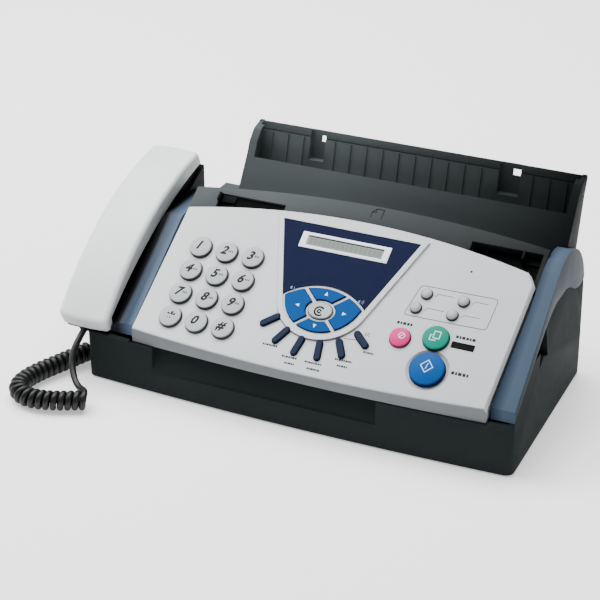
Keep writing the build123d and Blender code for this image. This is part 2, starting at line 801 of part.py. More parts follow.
with BuildPart() as document_cover:
    add(cover_ledge.part)
    add(cover_crown.part)
    for left_end, right_end, depth in (left_recess, right_recess):
        corners = ((left_end, 100), (right_end, guide_slot_d))
        add(box_on(panel, *corners, depth), mode=Mode.SUBTRACT)
    with BuildSketch(foot.offset(deck_top)):
        with Locations(((cover_left + cover_right) / 2, (111 + cover_rear) / 2)):
            Rectangle(cover_right - cover_left, cover_rear - 111)
    extrude(amount=-3.5)
    add(cover_hollow.part, mode=Mode.SUBTRACT)
    slot_corners = ((paper_slot[0], paper_slot[2]), (paper_slot[1], paper_slot[3]))
    add(box_on(foot.offset(deck_top + 1), *slot_corners, 6), mode=Mode.SUBTRACT)
    # skirt down to the hinge line, notched round the lugs
    with BuildSketch(side.offset(cover_left)):
        Polygon((157.5, 106), (cover_rear, 106), (165.5, 88), (165.5, 83), (163, 83), (158, 103),
                align=None)
    extrude(amount=cover_right - cover_left)
    for lug_x in (arm_left_inner + 2.4, 154.4):
        with BuildSketch(foot.offset(60)):
            with Locations((lug_x, 163)):
                Rectangle(5.2, 16)
        extrude(amount=36, mode=Mode.SUBTRACT)
    # lugs of the document feed roller
    for lug_x in feed_lugs:
        with BuildSketch(side.offset(lug_x)):
            with Locations(feed_axis):
                Circle(6)
            Polygon((81, 90), (92, 86), (112, 101), (112, 104), (98, 104), align=None)
            with Locations(feed_axis):
                Circle(feed_shaft + running_gap, mode=Mode.SUBTRACT)
        extrude(amount=3)
save(document_cover.part, "document_cover")

# ---------------------------------------------------------------- document path
sensor_left, sensor_right = -122.0, 120.0
with BuildPart() as image_sensor:
    with BuildSketch(side.offset(sensor_left)):
        Polygon((52, 66), (66, 66), (66, 76), (52, 76), align=None)
        Polygon((56, 76), (62, 76), (62, 77), (56, 77), align=None)
    extrude(amount=sensor_right - sensor_left)
    for post_x in (sensor_left, sensor_right - 5):
        with BuildSketch(side.offset(post_x)):
            Polygon((54, 75), (64, 75), slope_point(62, panel_skin), slope_point(52, panel_skin),
                    align=None)
        extrude(amount=5)
save(image_sensor.part, "image_sensor")

with BuildPart() as feed_roller:
    for radius, start, length in ((feed_shaft, -79, 201), (5, -71, 184)):
        with BuildSketch(side.offset(start)):
            with Locations(feed_axis):
                Circle(radius)
        extrude(amount=length)
    for ring_x in (-60, -10, 40, 84):
        with BuildSketch(side.offset(ring_x)):
            with Locations(feed_axis):
                Circle(8)
        extrude(amount=18)
save(feed_roller.part, "feed_roller")

guide_rest = 0.3          # gap under a guide's foot


def document_guide(fence, foot_end, depth, height):
    """Fence that lines up the document's edge, on a foot that slides in its recess."""
    low, high = sorted((fence, foot_end))
    with BuildPart() as guide:
        with BuildSketch(panel.offset(-depth + guide_rest)):
            Polygon((fence, 123.4), (foot_end, 124.2), (foot_end, 130), (fence, 130), align=None)
        extrude(amount=1.2)
        with BuildSketch(panel.offset(-depth + guide_rest)):
            with Locations((fence, 126.4)):
                Rectangle(2, 7.2)
        extrude(amount=height)
    return guide.part


save(document_guide(-108.6, -96, left_recess[2], 5.5), "document_guide_left")
save(document_guide(139.0, 151, right_recess[2], 10.0), "document_guide_right")

# ---------------------------------------------------------------- paper support
support_left, support_right = -105.0, 164.5
support_wall = 3.5
rib_pitch = 13.5
flange_width = 3.0
groove_z = 156.4          # height of the groove below the rear plate's top rim
support_slots = [(-52.5, 13.0), (106.0, 17.0)]


def rear_point(z, behind=0.0):
    """Point in the side view on the rear plate's back face, or so far behind it."""
    return (157 + (z - 108) * 15.5 / 54 + behind, z)


with BuildPart() as paper_support:
    for start in (support_left, support_right - support_wall):
        with BuildSketch(side.offset(start)):
            Polygon((132, 107.2), (132, 119), (146, 141), (152, 152), (160, 159.5), (173, 162.5),
                    (174, 160), (166.7, 144.7), (157, 107.2), align=None)
        extrude(amount=support_wall)
    with BuildSketch(side.offset(support_left)):
        Polygon((125.5, 110), (146, 141), (148.2, 139.6), (128, 109), align=None)
        Polygon((157, 108), (172.5, 162), (170, 162.7), (154.5, 108.7), align=None)
        Polygon((126, 107.2), (157.5, 107.2), (157.5, 109.7), (126, 109.7), align=None)
    extrude(amount=support_right - support_left)
    add(box_on(foot.offset(111), *slot_corners, 6), mode=Mode.SUBTRACT)
    # curved flanges along the front edges of the side walls
    for start in (support_left + support_wall, support_right - support_wall - flange_width):
        with BuildSketch(side.offset(start)):
            Polygon((139, 130.3), (146, 141), (152, 152), (160, 159.5), (166, 161), (165, 158.6),
                    (154.5, 150.4), (148.4, 139.6), (141.4, 129), align=None)
        extrude(amount=flange_width)
    # shallow pockets in the rear plate, each closed behind but for a small window
    for slot_x, slot_width in support_slots:
        with BuildSketch(side.offset(slot_x - slot_width / 2 - 1.2)):
            Polygon(rear_point(137.4), rear_point(137.4, 3.8), rear_point(160.6, 3.8),
                    rear_point(160.6), align=None)
        extrude(amount=slot_width + 2.4)
        with BuildSketch(side.offset(slot_x - slot_width / 2)):
            Polygon(rear_point(139, -6), rear_point(139, 2.6), rear_point(164, 2.6),
                    rear_point(164, -6), align=None)
        extrude(amount=slot_width, mode=Mode.SUBTRACT)
        with BuildSketch(side.offset(slot_x + 1)):
            Polygon(rear_point(152, 1), rear_point(152, 6), rear_point(157, 6),
                    rear_point(157, 1), align=None)
        extrude(amount=slot_width / 2 - 2, mode=Mode.SUBTRACT)
    # groove below the rear plate's top rim, and upright ribs from there down
    with BuildSketch(side.offset(support_left + support_wall)):
        Polygon(rear_point(groove_z, -4), rear_point(groove_z, -1.8),
                rear_point(groove_z + 0.9, -1.8), rear_point(groove_z + 0.9, -4), align=None)
    extrude(amount=support_right - support_left - 2 * support_wall, mode=Mode.SUBTRACT)
    rib_count = int((support_right - support_left - 2 * support_wall) / rib_pitch)
    for index in range(rib_count):
        rib_x = support_left + support_wall + (index + 0.7) * rib_pitch
        if all(abs(rib_x - slot_x) > slot_width / 2 + 1 for slot_x, slot_width in support_slots):
            with BuildSketch(side.offset(rib_x - 0.5)):
                Polygon(rear_point(109, -3.6), rear_point(groove_z, -3.6),
                        rear_point(groove_z, -1), rear_point(109, -1), align=None)
            extrude(amount=1)
    # clearance over the right arm's crest
    with BuildSketch(side.offset(cover_right)):
        with Locations(crest_centre):
            Circle(crest_radius + 0.4)
        Polygon((120, 60), (167, 60), (167, 84), (120, 84), align=None)
    extrude(amount=30, mode=Mode.SUBTRACT)
save(paper_support.part, "paper_support")

# ---------------------------------------------------------------- handset
half_handset = handset_width / 2
head_width = 32.0
body_floor = -10.4        # underside of the inner body at its ends, in the handset's side view
grip_floor = -5.4         # and along the grip


def handset_back(inset=0.0):
    """Arched back of the handset in its side view, as a line from front to rear."""
    return ThreePointArc(
        (inset, 1.5 - inset), (handset_length / 2, handset_peak - inset),
        (handset_length - inset, 4.0 - inset),
    )


def handset_plan(inset=0.0):
    """Plan of the handset seen from its back, with bowed and rounded ends."""
    half = half_handset - inset
    plan_plane = Plane(origin=handset_side.origin, x_dir=(1, 0, 0), z_dir=handset_side.y_dir)
    with BuildPart() as column:
        with BuildSketch(plan_plane) as plan:
            with BuildLine():
                near = ThreePointArc((-half, inset + 1.2), (0, inset), (half, inset + 1.2))
                far = ThreePointArc(
                    (half, handset_length - inset - 2.2), (0, handset_length - inset),
                    (-half, handset_length - inset - 2.2),
                )
                Line(near @ 1, far @ 0)
                Line(far @ 1, near @ 0)
            make_face()
            fillet(plan.vertices(), 4.5 - inset)
        extrude(amount=40, both=True)
    return column.part


with BuildPart() as handset_shell:
    with BuildSketch(handset_side):
        with BuildLine():
            back = handset_back()
            rim = ThreePointArc((handset_length, -6.3), (94, 6.2), (9, -1.6))
            Polyline(rim @ 1, (7, -9.4), (0, -9.4), back @ 0)
            Line(back @ 1, rim @ 0)
        make_face()
    extrude(amount=half_handset, both=True)
    add(handset_plan(), mode=Mode.INTERSECT)
    back_face = handset_shell.faces().sort_by(Axis((0, 0, 0), tuple(handset_side.y_dir)))[-1]
    fillet(back_face.edges(), 4.0)
    with BuildPart() as shell_hollow:
        with BuildSketch(handset_side):
            with BuildLine():
                back = handset_back(shell_wall)
                Polyline(back @ 1, (handset_length - shell_wall, -20), (shell_wall, -20), back @ 0)
            make_face()
        extrude(amount=half_handset, both=True)
        add(handset_plan(shell_wall), mode=Mode.INTERSECT)
    add(shell_hollow.part, mode=Mode.SUBTRACT)
save(handset_shell.part, "handset_shell")

with BuildPart() as handset_inner:
    inner_inset = shell_wall + 0.1
    with BuildSketch(handset_side):
        with BuildLine():
            back = handset_back(inner_inset)
            tail_u = handset_length - inner_inset
            Polyline(back @ 1, (tail_u, body_floor), (139, body_floor), (135, grip_floor),
                     (46, grip_floor), (42, body_floor), (inner_inset, body_floor), back @ 0)
        make_face()
    extrude(amount=half_handset, both=True)
    add(handset_plan(inner_inset), mode=Mode.INTERSECT)
    with BuildSketch(handset_side):
        Polygon((9, -8), (10.5, -22), (36, -22), (40, -8), align=None)
        Polygon((140, -8), (143.5, -22), (165, -22), (167, -8), align=None)
    extrude(amount=head_width / 2, both=True)
    # block round the cord's socket
    with BuildSketch(handset_side.offset(-6.5)):
        Polygon((3, -8), (3, -9.8), (1, -9.8), (1, -15.2), (11, -15.2), (11, -8), align=None)
    extrude(amount=7.7)
    # sound holes
    for head_u in (22.5, 154):
        with BuildSketch(Plane(
            origin=handset_side.from_local_coords((head_u, -22, 0)),
            x_dir=handset_side.x_dir,
            z_dir=-handset_side.y_dir,
        )):
            with PolarLocations(5, 6):
                Circle(1.1)
            Circle(1.1)
        extrude(amount=-1.5, mode=Mode.SUBTRACT)
save(handset_inner.part, "handset_inner")

# ---------------------------------------------------------------- cradle and hook switch
cradle_left, cradle_right = -192.5, -151.9
cradle_top = -11.0        # below the handset's chord
well_half = 16.5
hook_u = 120.0
hook_half = 3.0

with BuildPart() as handset_cradle:
    with BuildSketch(side.offset(cradle_left)):
        Polygon(*cradle_floor(), (162, 120), (4, 60), align=None)
    extrude(amount=cradle_right - cradle_left)
    rim = Plane(
        origin=handset_side.from_local_coords((0, cradle_top, 0)),
        x_dir=(1, 0, 0),
        z_dir=handset_side.y_dir,
    )
    split(bisect_by=rim, keep=Keep.BOTTOM)
    with BuildSketch(handset_side):
        Polygon((6.5, -5), (8.0, -22.3), (37.5, -22.3), (42, -13.5), (132, -13.5),
                (141.5, -22.3), (166.5, -22.3), (169, -5), align=None)
    extrude(amount=well_half, both=True, mode=Mode.SUBTRACT)
    with BuildSketch(handset_side.offset(-7.5)):
        Polygon((-5, -5), (-5, -16.5), (13, -16.5), (13, -5), align=None)
    extrude(amount=12, mode=Mode.SUBTRACT)
    with BuildSketch(handset_side):
        with Locations((hook_u, -16)):
            Rectangle(2 * hook_half + 0.7, 5.2)
    extrude(amount=hook_half + 0.35, both=True, mode=Mode.SUBTRACT)
save(handset_cradle.part, "handset_cradle")

with BuildPart() as hook_switch:
    with BuildSketch(handset_side):
        with Locations((hook_u, -5.7)):
            Rectangle(2 * hook_half, 12.5, align=(Align.CENTER, Align.MAX))
    extrude(amount=hook_half, both=True)
save(hook_switch.part, "hook_switch")

# ---------------------------------------------------------------- handset cord
strand = 5.0
coil_diameter = 16.0
lead_points = [
    (-175, 2.9, 39.2), (-175, -9, 33.8), (-174.5, -17, 27.2), (-171, -24, 20),
    (-165, -31, 13.5), (-158, -37.5, 9.5), (-150.5, -42.5, 8.2),
]
coil_points = [
    (-148, -45, 8.2), (-162, -52.5, 8.2), (-178, -58.5, 8.2), (-192, -59.5, 8.2),
    (-203.5, -52, 8.2), (-206, -38, 8.2), (-202, -22, 8.2), (-196, -8, 8.2),
    (-189.5, 8, 8.2), (-184, 22, 8.2),
]
tail_points = [(-184, 22, 8.2), (-181.5, 28.5, 9), (-178.5, 33, 11), (-172.7, 34, 12)]


def corner_radii(points):
    """Bend radius at each inner corner, from its shorter run and its turn."""
    radii = []
    for before, corner, after in zip(points, points[1:], points[2:]):
        arrive = Vector(*corner) - Vector(*before)
        leave = Vector(*after) - Vector(*corner)
        half_turn = radians(arrive.get_angle(leave) / 2)
        shorter = min(arrive.length, leave.length)
        radii.append(0.45 * shorter * cos(half_turn) / sin(half_turn))
    return radii


def cord(points, diameter):
    """Round tube along straight runs joined by tangent arcs."""
    radii = corner_radii(points)
    placed = [(x + base_x, y + front_y, z) for x, y, z in points]
    with BuildPart() as tube:
        with BuildLine() as route:
            FilletPolyline(*placed, radius=radii)
        start = Plane(origin=route.line @ 0, z_dir=route.line % 0)
        with BuildSketch(start):
            Circle(diameter / 2)
        sweep(path=route.line)
    length = sum(edge.length for edge in route.edges())
    print("bends", [round(radius) for radius in radii], "length", round(length))
    return tube.part


save(cord(lead_points, strand), "cord_lead")
save(cord(coil_points, coil_diameter), "cord_coil")
save(cord(tail_points, strand), "cord_tail")
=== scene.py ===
"""Looks of the desktop fax machine: camera, cord, materials and fine detail round the CAD frame."""
import json
import math

import bpy
import bmesh
from mathutils import Matrix, Vector


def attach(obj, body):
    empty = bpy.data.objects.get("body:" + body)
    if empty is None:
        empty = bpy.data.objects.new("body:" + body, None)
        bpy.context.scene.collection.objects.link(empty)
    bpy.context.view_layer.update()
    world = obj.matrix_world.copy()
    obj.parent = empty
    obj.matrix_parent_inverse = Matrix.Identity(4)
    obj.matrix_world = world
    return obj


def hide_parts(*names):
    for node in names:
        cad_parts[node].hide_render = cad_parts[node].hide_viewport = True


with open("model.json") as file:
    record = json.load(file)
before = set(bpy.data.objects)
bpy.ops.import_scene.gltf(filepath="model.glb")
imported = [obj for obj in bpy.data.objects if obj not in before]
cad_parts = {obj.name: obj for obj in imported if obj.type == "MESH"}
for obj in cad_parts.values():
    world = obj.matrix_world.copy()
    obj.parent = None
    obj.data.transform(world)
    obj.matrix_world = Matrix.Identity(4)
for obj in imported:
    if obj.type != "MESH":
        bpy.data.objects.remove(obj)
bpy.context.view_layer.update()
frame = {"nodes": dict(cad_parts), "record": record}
nodes = frame["nodes"]

MM = 0.001
BASE = Vector((11.0, -84.0, 0.0))      # front middle of the base, in the row frame, in mm
SLOPE = math.radians(33.7)
LIP = Vector((11.0, -83.0, 50.7))      # lower edge of the panel's slope
UP_SLOPE = Vector((0, math.cos(SLOPE), math.sin(SLOPE)))
OFF_SLOPE = Vector((0, -math.sin(SLOPE), math.cos(SLOPE)))


def at(x, y, z):
    """Point given from the base's front middle, in mm, as metres in the row frame."""
    return (Vector((x, y, z)) + BASE) * MM


def on_panel(x, d, n=0.0):
    """Point on the panel: across, up the slope and off it, in mm, as metres."""
    return (LIP + Vector((x, 0, 0)) + UP_SLOPE * d + OFF_SLOPE * n) * MM


# ---------------------------------------------------------------- camera
AZIMUTH = math.radians(24.71)
ELEVATION = math.radians(27.78)
CAMERA_PLACE = Vector((0.4649, -1.0511, 0.6669))

camera_data = bpy.data.cameras.new("camera")
camera_data.lens = 101.7
camera_data.sensor_width = 36.0
camera_data.clip_end = 20.0
camera = bpy.data.objects.new("camera", camera_data)
bpy.context.scene.collection.objects.link(camera)
rightward = Vector((math.cos(AZIMUTH), math.sin(AZIMUTH), 0))
backward = Vector((
    math.sin(AZIMUTH) * math.cos(ELEVATION),
    -math.cos(AZIMUTH) * math.cos(ELEVATION),
    math.sin(ELEVATION),
))
upward = backward.cross(rightward)
pose = Matrix((rightward, upward, backward)).transposed().to_4x4()
pose.translation = CAMERA_PLACE
camera.matrix_world = pose
bpy.context.scene.camera = camera

# ---------------------------------------------------------------- handset cord
STRAND = 0.005            # thickness of the cord, in metres like the two below
COIL_RADIUS = 0.0054      # from the coil's middle line to the strand's
TURN = 0.0056             # distance from one turn of the coil to the next
STEPS = 14                # points in each turn

lead_points = [
    (-175, 2.9, 39.2), (-175, -9, 33.8), (-174.5, -17, 27.2), (-171, -24, 20),
    (-165, -31, 14.5), (-158, -36.5, 12), (-151.5, -39.5, 13.2),
]
coil_points = [
    (-148, -45, 8.2), (-162, -52.5, 8.2), (-178, -58.5, 8.2), (-192, -59.5, 8.2),
    (-203.5, -52, 8.2), (-206, -38, 8.2), (-202, -22, 8.2), (-196, -8, 8.2),
    (-189.5, 8, 8.2), (-184, 22, 8.2),
]
tail_points = [(-180.5, 23, 3.4), (-178.2, 28, 6), (-177.2, 32.6, 10.5), (-172.7, 34, 12)]


def nurbs(name, points, bevel=0.0):
    """Curve of one smooth NURBS spline with these control points, in metres."""
    data = bpy.data.curves.new(name, "CURVE")
    data.dimensions = "3D"
    data.resolution_u = 12
    data.bevel_depth = 1.0 if bevel else 0.0
    data.bevel_resolution = 5
    data.use_fill_caps = bevel > 0
    spline = data.splines.new("NURBS")
    spline.points.add(len(points) - 1)
    for point, place in zip(spline.points, points):
        point.co = (*place, 1.0)
        point.radius = bevel
    spline.order_u = 3
    spline.use_endpoint_u = True
    curve = bpy.data.objects.new(name, data)
    bpy.context.scene.collection.objects.link(curve)
    return curve


def route_points(points):
    """Points along the smooth line of a route, as Blender evaluates it."""
    curve = nurbs("route", points)
    depsgraph = bpy.context.evaluated_depsgraph_get()
    mesh = bpy.data.meshes.new_from_object(curve.evaluated_get(depsgraph))
    line = [vertex.co.copy() for vertex in mesh.vertices]
    bpy.data.meshes.remove(mesh)
    bpy.data.objects.remove(curve)
    return line


def helix(line, radius, pitch, steps):
    """Points of a coil wound round a line, from its top to its underside half a turn on."""
    lengths = [0.0]
    for before, after in zip(line, line[1:]):
        lengths.append(lengths[-1] + (after - before).length)
    turns = round(lengths[-1] / pitch) + 0.5
    count = int(turns * steps)
    points = []
    side = Vector((0, 0, 1))
    segment = 0
    for index in range(count + 1):
        along = lengths[-1] * index / count
        while segment < len(line) - 2 and lengths[segment + 1] < along:
            segment += 1
        step = lengths[segment + 1] - lengths[segment]
        share = (along - lengths[segment]) / step
        place = line[segment].lerp(line[segment + 1], share)
        tangent = (line[segment + 1] - line[segment]).normalized()
        side = (side - tangent * side.dot(tangent)).normalized()
        other = side.cross(tangent)
        angle = 2 * math.pi * index / steps
        points.append(place + (side * math.cos(angle) + other * math.sin(angle)) * radius)
    return points


coil_line = route_points([at(*point) for point in coil_points])
cord_points = [at(*point) for point in lead_points]
cord_points += helix(coil_line, COIL_RADIUS, TURN, STEPS)
cord_points += [at(*point) for point in tail_points]
handset_cord = nurbs("handset_cord", cord_points, STRAND / 2)
handset_cord.data.resolution_u = 3
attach(handset_cord, "base")
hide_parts("cord_lead", "cord_coil", "cord_tail")


# ---------------------------------------------------------------- materials
DRIFT_SIZE = 45           # length over which a surface's colour drifts, in mm
SCUFF_SIZE = 9            # length over which its roughness varies, in mm
SCUFF = 0.03              # share by which it varies
GRAIN_DEPTH = 0.2         # in mm


def shade(name, color, rough, grain=0.05, grain_size=0.4, drift=0.04, metal=0.0, gloss=0.5,
          across=None, painted_shade=None, turned=(0.35, 0.85), facing=OFF_SLOPE, glow=0.0):
    """Moulded surface: slow colour drift, uneven roughness and a fine grain, sizes in mm.

    `across` is (from x, to x, colour at the first), a blend along X in the row frame which paints
    light and shade falling across a part, and the shade colour after it is painted shade on what
    turns away from the `facing` direction, the panel's normal unless given, such as the walls of a
    key: fully at the first cosine in `turned`, not at the second.
    """
    material = bpy.data.materials.new(name)
    material.use_nodes = True
    tree = material.node_tree
    surface = tree.nodes["Principled BSDF"]
    surface.inputs["Metallic"].default_value = metal
    surface.inputs["Specular IOR Level"].default_value = gloss
    place = tree.nodes.new("ShaderNodeTexCoord")

    def noise(size, detail):
        texture = tree.nodes.new("ShaderNodeTexNoise")
        texture.inputs["Scale"].default_value = 1000.0 / size
        texture.inputs["Detail"].default_value = detail
        tree.links.new(place.outputs["Object"], texture.inputs["Vector"])
        return texture.outputs["Fac"]

    def spread(source, low, high, start=0.3, end=0.7):
        ramp = tree.nodes.new("ShaderNodeMapRange")
        ramp.inputs["From Min"].default_value = start
        ramp.inputs["From Max"].default_value = end
        ramp.inputs["To Min"].default_value = low
        ramp.inputs["To Max"].default_value = high
        tree.links.new(source, ramp.inputs["Value"])
        return ramp.outputs["Result"]

    def blend(factor, first, second):
        mix = tree.nodes.new("ShaderNodeMix")
        mix.data_type = "RGBA"
        for socket, value in (("A", first), ("B", second)):
            if hasattr(value, "links"):
                tree.links.new(value, mix.inputs[socket])
            else:
                mix.inputs[socket].default_value = (*value, 1)
        tree.links.new(factor, mix.inputs["Factor"])
        return mix.outputs["Result"]

    darker = [value * (1 - drift) for value in color]
    paler = [min(1, value * (1 + drift)) for value in color]
    paint = blend(spread(noise(DRIFT_SIZE, 3), 0, 1), darker, paler)
    # painted light and shade: the colour blends along X like light falling off across a part
    if across:
        split = tree.nodes.new("ShaderNodeSeparateXYZ")
        tree.links.new(place.outputs["Object"], split.inputs["Vector"])
        start, end, first = across
        share = spread(split.outputs["X"], 0, 1, start * MM, end * MM)
        paint = blend(share, first, paint)
    # painted shade: faces turned away from the facing direction take the shade colour
    if painted_shade:
        angle = tree.nodes.new("ShaderNodeVectorMath")
        angle.operation = "DOT_PRODUCT"
        angle.inputs[1].default_value = facing
        tree.links.new(place.outputs["Normal"], angle.inputs[0])
        paint = blend(spread(angle.outputs["Value"], 0, 1, *turned), painted_shade, paint)
    tree.links.new(paint, surface.inputs["Base Color"])
    roughness = spread(noise(SCUFF_SIZE, 4), rough * (1 - SCUFF), rough * (1 + SCUFF))
    tree.links.new(roughness, surface.inputs["Roughness"])
    if grain:
        bump = tree.nodes.new("ShaderNodeBump")
        bump.inputs["Strength"].default_value = grain
        bump.inputs["Distance"].default_value = GRAIN_DEPTH * MM
        tree.links.new(noise(grain_size, 2), bump.inputs["Height"])
        tree.links.new(bump.outputs["Normal"], surface.inputs["Normal"])
    if glow:
        surface.inputs["Emission Color"].default_value = (1, 1, 1, 1)
        surface.inputs["Emission Strength"].default_value = glow
    return material


def linear(red, green, blue):
    """Colour given as 0-255 display values, as linear light."""
    return [((value / 255 + 0.055) / 1.055) ** 2.4 if value > 10 else value / 3295
            for value in (red, green, blue)]


# one look for each material slot of the record, but for the arms' slot
looks = {
    "charcoal_plastic": shade("charcoal", linear(29, 34, 35), 0.7, grain=0.25, grain_size=0.5,
                              gloss=0.05),
    "black_plastic": shade("black", linear(6, 7, 8), 0.6, grain=0.15, gloss=0.04),
    # painted shade: the handset's sides, which turn away from the panel's normal, take the darker
    # colour
    "handset_white": shade("white", linear(222, 227, 227), 0.38, grain=0.03, gloss=0.4,
                           painted_shade=linear(178, 183, 185), turned=(0.1, 0.75)),
    # painted light and shade: the panel is lighter towards the left, and its lip and front faces,
    # which turn down the slope, are darker
    "panel_grey": shade("panel", linear(178, 182, 185), 0.5, grain=0.08, gloss=0.35,
                        across=(-110, 150, linear(206, 209, 211)),
                        painted_shade=linear(100, 104, 108), turned=(-0.7, -0.1), facing=UP_SLOPE),
    "navy_fascia": shade("navy", linear(4, 14, 46), 0.6, grain=0.0, gloss=0.06),
    "display_bezel": shade("bezel", linear(226, 231, 240), 0.34, grain=0.0, gloss=0.4),
    # painted shade: the second colour of each key below darkens its walls and the rounded rim of
    # its top
    "key_grey": shade("key", linear(168, 172, 174), 0.46, grain=0.06, gloss=0.3,
                      painted_shade=linear(40, 44, 48), turned=(0.5, 0.97)),
    "nav_blue": shade("nav", linear(0, 64, 126), 0.55, grain=0.02, gloss=0.06,
                      painted_shade=linear(0, 18, 52)),
    "function_blue": shade("function", linear(6, 24, 50), 0.5, grain=0.02, gloss=0.1,
                           painted_shade=linear(4, 8, 18)),
    "stop_pink": shade("stop", linear(198, 26, 110), 0.45, grain=0.0, gloss=0.2,
                       painted_shade=linear(92, 16, 54)),
    "copy_green": shade("copy", linear(0, 126, 106), 0.5, grain=0.0, gloss=0.08,
                        painted_shade=linear(0, 54, 44)),
    "start_blue": shade("start", linear(0, 68, 132), 0.5, grain=0.0, gloss=0.08,
                        painted_shade=linear(2, 22, 64)),
    "cord_plastic": shade("cord", linear(9, 11, 12), 0.42, grain=0.05, gloss=0.3),
    "foot_rubber": shade("foot", linear(22, 22, 22), 0.8, grain=0.3),
    "roller_rubber": shade("roller", linear(40, 40, 42), 0.7, grain=0.2),
    "ribbon_film": shade("ribbon", linear(10, 10, 13), 0.2, grain=0.0),
    "steel_sheet": shade("steel", linear(190, 190, 190), 0.35, metal=1.0),
    "motor_metal": shade("motor", linear(150, 150, 152), 0.4, metal=1.0),
    "head_aluminium": shade("aluminium", linear(205, 205, 205), 0.35, metal=1.0),
    "circuit_board": shade("board", linear(24, 88, 46), 0.4, grain=0.1),
}
# looks of single nodes, which come before their slot's
own_looks = {
    # painted shade: the left arm darkens to near black towards the handset as its shadow, and the
    # right arm darkens towards the panel and on faces turning away
    "left_arm": shade("arm_left", linear(78, 97, 122), 0.45, grain=0.02, gloss=0.12,
                      across=(-134, -119, linear(7, 9, 11))),
    "right_arm": shade("arm_right", linear(62, 76, 92), 0.45, grain=0.02, gloss=0.04,
                       across=(165, 174, linear(18, 32, 48)), painted_shade=linear(34, 44, 54),
                       turned=(0.15, 0.6)),
    # painted light: the deck and the paper support are lighter towards the left, like light falling
    # off across them
    "document_cover": shade("deck", linear(18, 22, 22), 0.6, grain=0.25, grain_size=0.5,
                            gloss=0.07, across=(-60, 160, linear(68, 74, 75))),
    "paper_support": shade("support", linear(13, 16, 17), 0.6, grain=0.25, grain_size=0.5,
                           gloss=0.05, across=(-20, 170, linear(66, 72, 73))),
}


def smooth_group(limit):
    """Geometry nodes that shade smooth except across edges sharper than an angle."""
    group = bpy.data.node_groups.new(f"smooth_by_{limit}", "GeometryNodeTree")
    group.interface.new_socket("Geometry", in_out="INPUT", socket_type="NodeSocketGeometry")
    group.interface.new_socket("Geometry", in_out="OUTPUT", socket_type="NodeSocketGeometry")
    start = group.nodes.new("NodeGroupInput")
    end = group.nodes.new("NodeGroupOutput")
    angle = group.nodes.new("GeometryNodeInputMeshEdgeAngle")
    sharp = group.nodes.new("FunctionNodeCompare")
    sharp.data_type = "FLOAT"
    sharp.operation = "GREATER_THAN"
    sharp.inputs["B"].default_value = math.radians(limit)
    faces = group.nodes.new("GeometryNodeSetShadeSmooth")
    faces.domain = "FACE"
    edges = group.nodes.new("GeometryNodeSetShadeSmooth")
    edges.domain = "EDGE"
    edges.inputs["Shade Smooth"].default_value = False
    group.links.new(start.outputs[0], faces.inputs["Geometry"])
    group.links.new(angle.outputs["Unsigned Angle"], sharp.inputs["A"])
    group.links.new(sharp.outputs["Result"], edges.inputs["Selection"])
    group.links.new(faces.outputs["Geometry"], edges.inputs["Geometry"])
    group.links.new(edges.outputs["Geometry"], end.inputs[0])
    return group


smooth_by_angle = smooth_group(28)
creased = smooth_group(12)     # keeps the panel's large flat face free of its edges' shading


def soften(piece, bevel=0.0, smoothing=smooth_by_angle):
    """Merge a piece's seams, round its edges by `bevel` mm and shade it smooth."""
    weld = piece.modifiers.new("weld", "WELD")
    weld.merge_threshold = 2e-6
    if bevel:
        rounding = piece.modifiers.new("rounding", "BEVEL")
        rounding.width = bevel * MM
        rounding.segments = 2
        rounding.limit_method = "ANGLE"
        rounding.angle_limit = math.radians(40)
        rounding.use_clamp_overlap = True
    shading = piece.modifiers.new("shading", "NODES")
    shading.node_group = smoothing


# widths in mm of the small bevels that catch the light
edge_rounding = {
    "base_housing": 0.5, "document_cover": 0.4, "paper_support": 0.4, "right_arm": 1.0,
    "left_arm": 0.5, "control_panel": 0.3, "lcd_display": 0.2, "handset_cradle": 0.4,
    "document_guide_left": 0.2, "document_guide_right": 0.2,
}
slot_of = {item["node"]: item["material_slot"] for item in frame["record"]["subparts"]}
for name, node in nodes.items():
    node.data.materials.clear()
    node.data.materials.append(own_looks.get(name) or looks[slot_of[name]])
    smoothing = creased if name == "control_panel" else smooth_by_angle
    soften(node, edge_rounding.get(name, 0.0), smoothing)
handset_cord.data.materials.append(looks["cord_plastic"])


# ---------------------------------------------------------------- printed marks
INK = 0.05                # thickness of a printed mark, in mm
LIFT = 0.03               # gap under it, which clears the facets of the solids
LONGEST = 0.9             # longest edge left in a mark that follows a curved top


def flat(x, d):
    """Height of a plain surface: the panel's slope or the rear wall."""
    return 0.0


def level(height):
    """Height function of a surface parallel to the plain one, above it or sunk."""
    return lambda x, d: height


def dome(place, radius, height, rim, crown):
    """Height function of a round key's top: a sphere's cap inside a rounded rim."""
    lean = math.radians(crown)
    reach = radius - rim + rim * math.sin(lean)
    sphere = reach / math.sin(lean)
    edge = height - rim + rim * math.cos(lean)

    def top(x, d):
        away = min(reach, math.hypot(x - place[0], d - place[1]))
        return edge + math.sqrt(sphere ** 2 - away ** 2) - sphere * math.cos(lean)

    return top


def stroke(points, width, closed=False):
    """Faces of a line of even width through points, with mitred corners."""
    count = len(points)
    pairs = []
    for index, point in enumerate(points):
        here = Vector(point)
        before = Vector(points[index - 1]) if closed or index else None
        after = Vector(points[(index + 1) % count]) if closed or index < count - 1 else None
        arrive = (here - before).normalized() if before is not None else None
        leave = (after - here).normalized() if after is not None else None
        arrive = leave if arrive is None else arrive
        leave = arrive if leave is None else leave
        along = (arrive + leave).normalized()
        across = Vector((-along.y, along.x))
        reach = width / 2 / max(0.5, across.dot(Vector((-leave.y, leave.x))))
        pairs.append((here + across * reach, here - across * reach))
    steps = range(count if closed else count - 1)
    return [
        [pairs[i][0], pairs[i][1], pairs[(i + 1) % count][1], pairs[(i + 1) % count][0]]
        for i in steps
    ]


